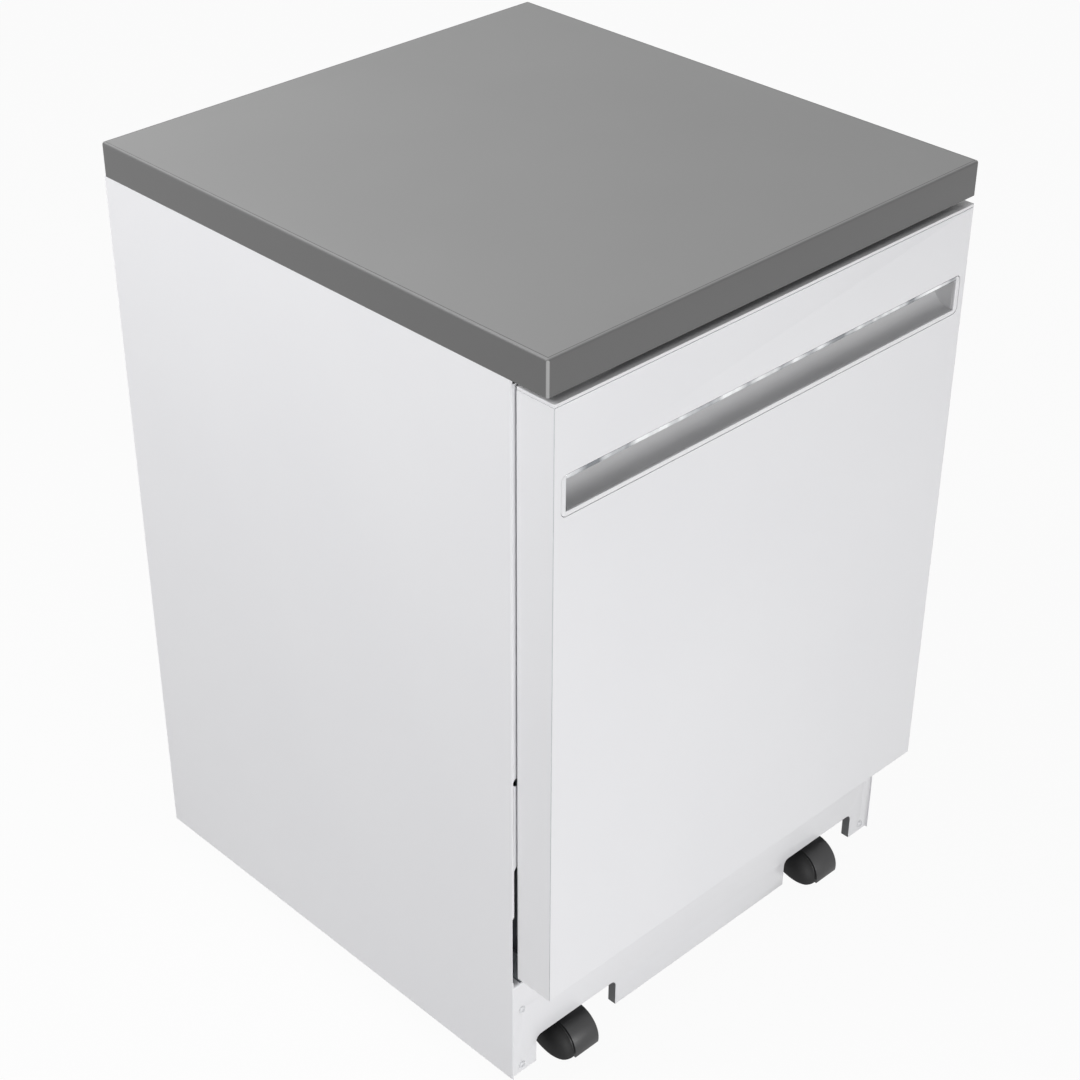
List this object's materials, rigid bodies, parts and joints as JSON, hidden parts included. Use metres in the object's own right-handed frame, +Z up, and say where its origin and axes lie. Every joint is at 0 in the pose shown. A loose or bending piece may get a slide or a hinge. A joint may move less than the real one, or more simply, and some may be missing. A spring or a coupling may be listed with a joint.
{
  "type": "portable dishwasher",
  "caption": "Portable dishwasher on casters with a grey worktop, a drop-down white door with a pocket handle, sliding racks, spray arms and a kick panel.",
  "frame": {"origin": "on the floor under the middle of the machine", "axes": "+X to the right as seen from the front, +Y to the back (the door faces -Y), +Z up"},
  "size_m": [0.61, 0.6594, 0.933],
  "materials": {
    "worktop_laminate": "satin laminate",
    "painted_steel_white": "smooth gloss white paint",
    "painted_steel_grey": "matt pale grey paint",
    "galvanised_steel": "galvanised",
    "plated_screws": "zinc plated",
    "spring_steel": "drawn wire",
    "tub_plastic": "smooth moulded",
    "liner_plastic": "smooth moulded",
    "vent_plastic": "moulded",
    "white_moulding": "gloss moulded",
    "start_button_grey": "satin moulded",
    "scoop_grey": "satin moulded",
    "bright_trim": "bright plated",
    "seal_rubber": "moulded seal",
    "rinse_cap_blue": "moulded",
    "coated_wire": "nylon-coated wire",
    "rack_nylon": "moulded nylon",
    "basket_plastic": "moulded",
    "wash_arm_plastic": "moulded polypropylene",
    "sump_plastic": "moulded polypropylene",
    "strainer_steel": "perforated sheet",
    "heater_sheath": "oxidised sheath",
    "pump_housing": "moulded",
    "caster_steel": "zinc plated",
    "caster_hood_black": "black nylon",
    "caster_wheel_black": "black nylon"
  },
  "bodies": {
    "cabinet": {"worktop": "worktop_laminate", "side_panel_left": "painted_steel_white", "side_panel_right": "painted_steel_white", "rear_panel": "painted_steel_grey", "base_frame": "galvanised_steel", "kick_panel": "painted_steel_white", "kick_screws": "plated_screws", "tub": "tub_plastic", "tub_flange": "tub_plastic", "door_gasket": "seal_rubber", "rack_rails": "galvanised_steel", "hinge_pins": "plated_screws", "hinge_brackets": "galvanised_steel", "door_springs": "spring_steel", "latch_housing": "sump_plastic", "feed_tube": "wash_arm_plastic", "sump": "sump_plastic", "filter": "strainer_steel", "wash_pump": "pump_housing", "drain_pump": "pump_housing", "heater": "heater_sheath", "inlet_valve": "pump_housing", "rear_glands": "seal_rubber", "caster_stems": "caster_steel"},
    "door": {"door_skin": "painted_steel_white", "door_liner": "liner_plastic", "control_strip": "white_moulding", "handle_bezel": "white_moulding", "handle_scoop": "scoop_grey", "handle_lip": "bright_trim", "hinge_arms": "galvanised_steel", "latch_tongue": "galvanised_steel", "dispenser_body": "liner_plastic", "door_vent": "vent_plastic"},
    "start_key": {"start_button": "start_button_grey"},
    "cycle_key": {"cycle_button": "white_moulding"},
    "dry_key": {"dry_button": "white_moulding"},
    "detergent_cover": {"dispenser_lid": "liner_plastic"},
    "rinse_cap": {"rinse_aid_cap": "rinse_cap_blue"},
    "upper_basket": {"upper_rack": "coated_wire", "upper_rack_glides": "rack_nylon", "upper_conduit": "wash_arm_plastic"},
    "upper_arm": {"upper_spray_arm": "wash_arm_plastic"},
    "lower_basket": {"lower_rack": "coated_wire", "lower_rack_brackets": "coated_wire", "silverware_basket": "basket_plastic"},
    "lower_arm": {"lower_spray_arm": "wash_arm_plastic"},
    "overfill_float": {"float": "wash_arm_plastic"},
    "rack_wheel_front_left": {"rack_wheel_front_left": "rack_nylon"},
    "rack_wheel_front_right": {"rack_wheel_front_right": "rack_nylon"},
    "rack_wheel_rear_left": {"rack_wheel_rear_left": "rack_nylon"},
    "rack_wheel_rear_right": {"rack_wheel_rear_right": "rack_nylon"},
    "caster_fork_front_left": {"caster_hood_front_left": "caster_hood_black"},
    "caster_roller_front_left": {"caster_wheel_front_left": "caster_wheel_black"},
    "caster_fork_front_right": {"caster_hood_front_right": "caster_hood_black"},
    "caster_roller_front_right": {"caster_wheel_front_right": "caster_wheel_black"},
    "caster_fork_rear_left": {"caster_hood_rear_left": "caster_hood_black"},
    "caster_roller_rear_left": {"caster_wheel_rear_left": "caster_wheel_black"},
    "caster_fork_rear_right": {"caster_hood_rear_right": "caster_hood_black"},
    "caster_roller_rear_right": {"caster_wheel_rear_right": "caster_wheel_black"}
  },
  "joints": [
    {"name": "door_hinge", "type": "hinge", "parent": "cabinet", "child": "door", "pos_m": [0, -0.298, 0.192], "axis": [1, 0, 0], "range_deg": [0, 90], "stiffness_Nm_per_rad": 9, "springref_deg": -22.92},
    {"name": "lower_rack_slide", "type": "slide", "parent": "cabinet", "child": "lower_basket", "axis": [0, -1, 0], "range_m": [0, 0.165]},
    {"name": "upper_rack_slide", "type": "slide", "parent": "cabinet", "child": "upper_basket", "axis": [0, -1, 0], "range_m": [0, 0.45]},
    {"name": "start_press", "type": "slide", "parent": "door", "child": "start_key", "axis": [0, 0, -1], "range_m": [0, 0.002], "stiffness_N_per_m": 400, "springref_m": -0.0005},
    {"name": "cycle_press", "type": "slide", "parent": "door", "child": "cycle_key", "axis": [0, 0, -1], "range_m": [0, 0.002], "stiffness_N_per_m": 400, "springref_m": -0.0005},
    {"name": "dry_press", "type": "slide", "parent": "door", "child": "dry_key", "axis": [0, 0, -1], "range_m": [0, 0.002], "stiffness_N_per_m": 400, "springref_m": -0.0005},
    {"name": "detergent_cover_slide", "type": "slide", "parent": "door", "child": "detergent_cover", "axis": [-1, 0, 0], "range_m": [0, 0.06]},
    {"name": "rinse_cap_turn", "type": "hinge", "parent": "door", "child": "rinse_cap", "pos_m": [-0.009, -0.276, 0.56], "axis": [0, 1, 0], "range_deg": [0, 90]},
    {"name": "upper_arm_spin", "type": "hinge", "parent": "upper_basket", "child": "upper_arm", "pos_m": [0, -0.013, 0.543], "axis": [0, 0, 1], "continuous": true},
    {"name": "lower_arm_spin", "type": "hinge", "parent": "cabinet", "child": "lower_arm", "pos_m": [0, -0.013, 0.229], "axis": [0, 0, 1], "continuous": true},
    {"name": "float_lift", "type": "slide", "parent": "cabinet", "child": "overfill_float", "axis": [0, 0, 1], "range_m": [0, 0.01]},
    {"name": "rack_wheel_front_left_roll", "type": "hinge", "parent": "lower_basket", "child": "rack_wheel_front_left", "pos_m": [-0.26, -0.0924, 0.2255], "axis": [1, 0, 0], "continuous": true},
    {"name": "rack_wheel_front_right_roll", "type": "hinge", "parent": "lower_basket", "child": "rack_wheel_front_right", "pos_m": [0.26, -0.0924, 0.2255], "axis": [1, 0, 0], "continuous": true},
    {"name": "rack_wheel_rear_left_roll", "type": "hinge", "parent": "lower_basket", "child": "rack_wheel_rear_left", "pos_m": [-0.26, 0.1776, 0.2255], "axis": [1, 0, 0], "continuous": true},
    {"name": "rack_wheel_rear_right_roll", "type": "hinge", "parent": "lower_basket", "child": "rack_wheel_rear_right", "pos_m": [0.26, 0.1776, 0.2255], "axis": [1, 0, 0], "continuous": true},
    {"name": "caster_swivel_front_left", "type": "hinge", "parent": "cabinet", "child": "caster_fork_front_left", "pos_m": [-0.2065, -0.2261, 0.05], "axis": [0, 0, 1], "continuous": true},
    {"name": "caster_roll_front_left", "type": "hinge", "parent": "caster_fork_front_left", "child": "caster_roller_front_left", "pos_m": [-0.2065, -0.2605, 0.025], "axis": [1, 0, 0], "continuous": true},
    {"name": "caster_swivel_front_right", "type": "hinge", "parent": "cabinet", "child": "caster_fork_front_right", "pos_m": [0.2065, -0.2261, 0.05], "axis": [0, 0, 1], "continuous": true},
    {"name": "caster_roll_front_right", "type": "hinge", "parent": "caster_fork_front_right", "child": "caster_roller_front_right", "pos_m": [0.2065, -0.2605, 0.025], "axis": [1, 0, 0], "continuous": true},
    {"name": "caster_swivel_rear_left", "type": "hinge", "parent": "cabinet", "child": "caster_fork_rear_left", "pos_m": [-0.2065, 0.2537, 0.05], "axis": [0, 0, 1], "continuous": true},
    {"name": "caster_roll_rear_left", "type": "hinge", "parent": "caster_fork_rear_left", "child": "caster_roller_rear_left", "pos_m": [-0.2065, 0.2193, 0.025], "axis": [1, 0, 0], "continuous": true},
    {"name": "caster_swivel_rear_right", "type": "hinge", "parent": "cabinet", "child": "caster_fork_rear_right", "pos_m": [0.2065, 0.2537, 0.05], "axis": [0, 0, 1], "continuous": true},
    {"name": "caster_roll_rear_right", "type": "hinge", "parent": "caster_fork_rear_right", "child": "caster_roller_rear_right", "pos_m": [0.2065, 0.2193, 0.025], "axis": [1, 0, 0], "continuous": true}
  ],
  "couplings": [
    {"joint": "lower_rack_slide", "follows": "door_hinge", "m_per_rad": 0.105},
    {"joint": "upper_rack_slide", "follows": "door_hinge", "m_per_rad": 0.286}
  ]
}
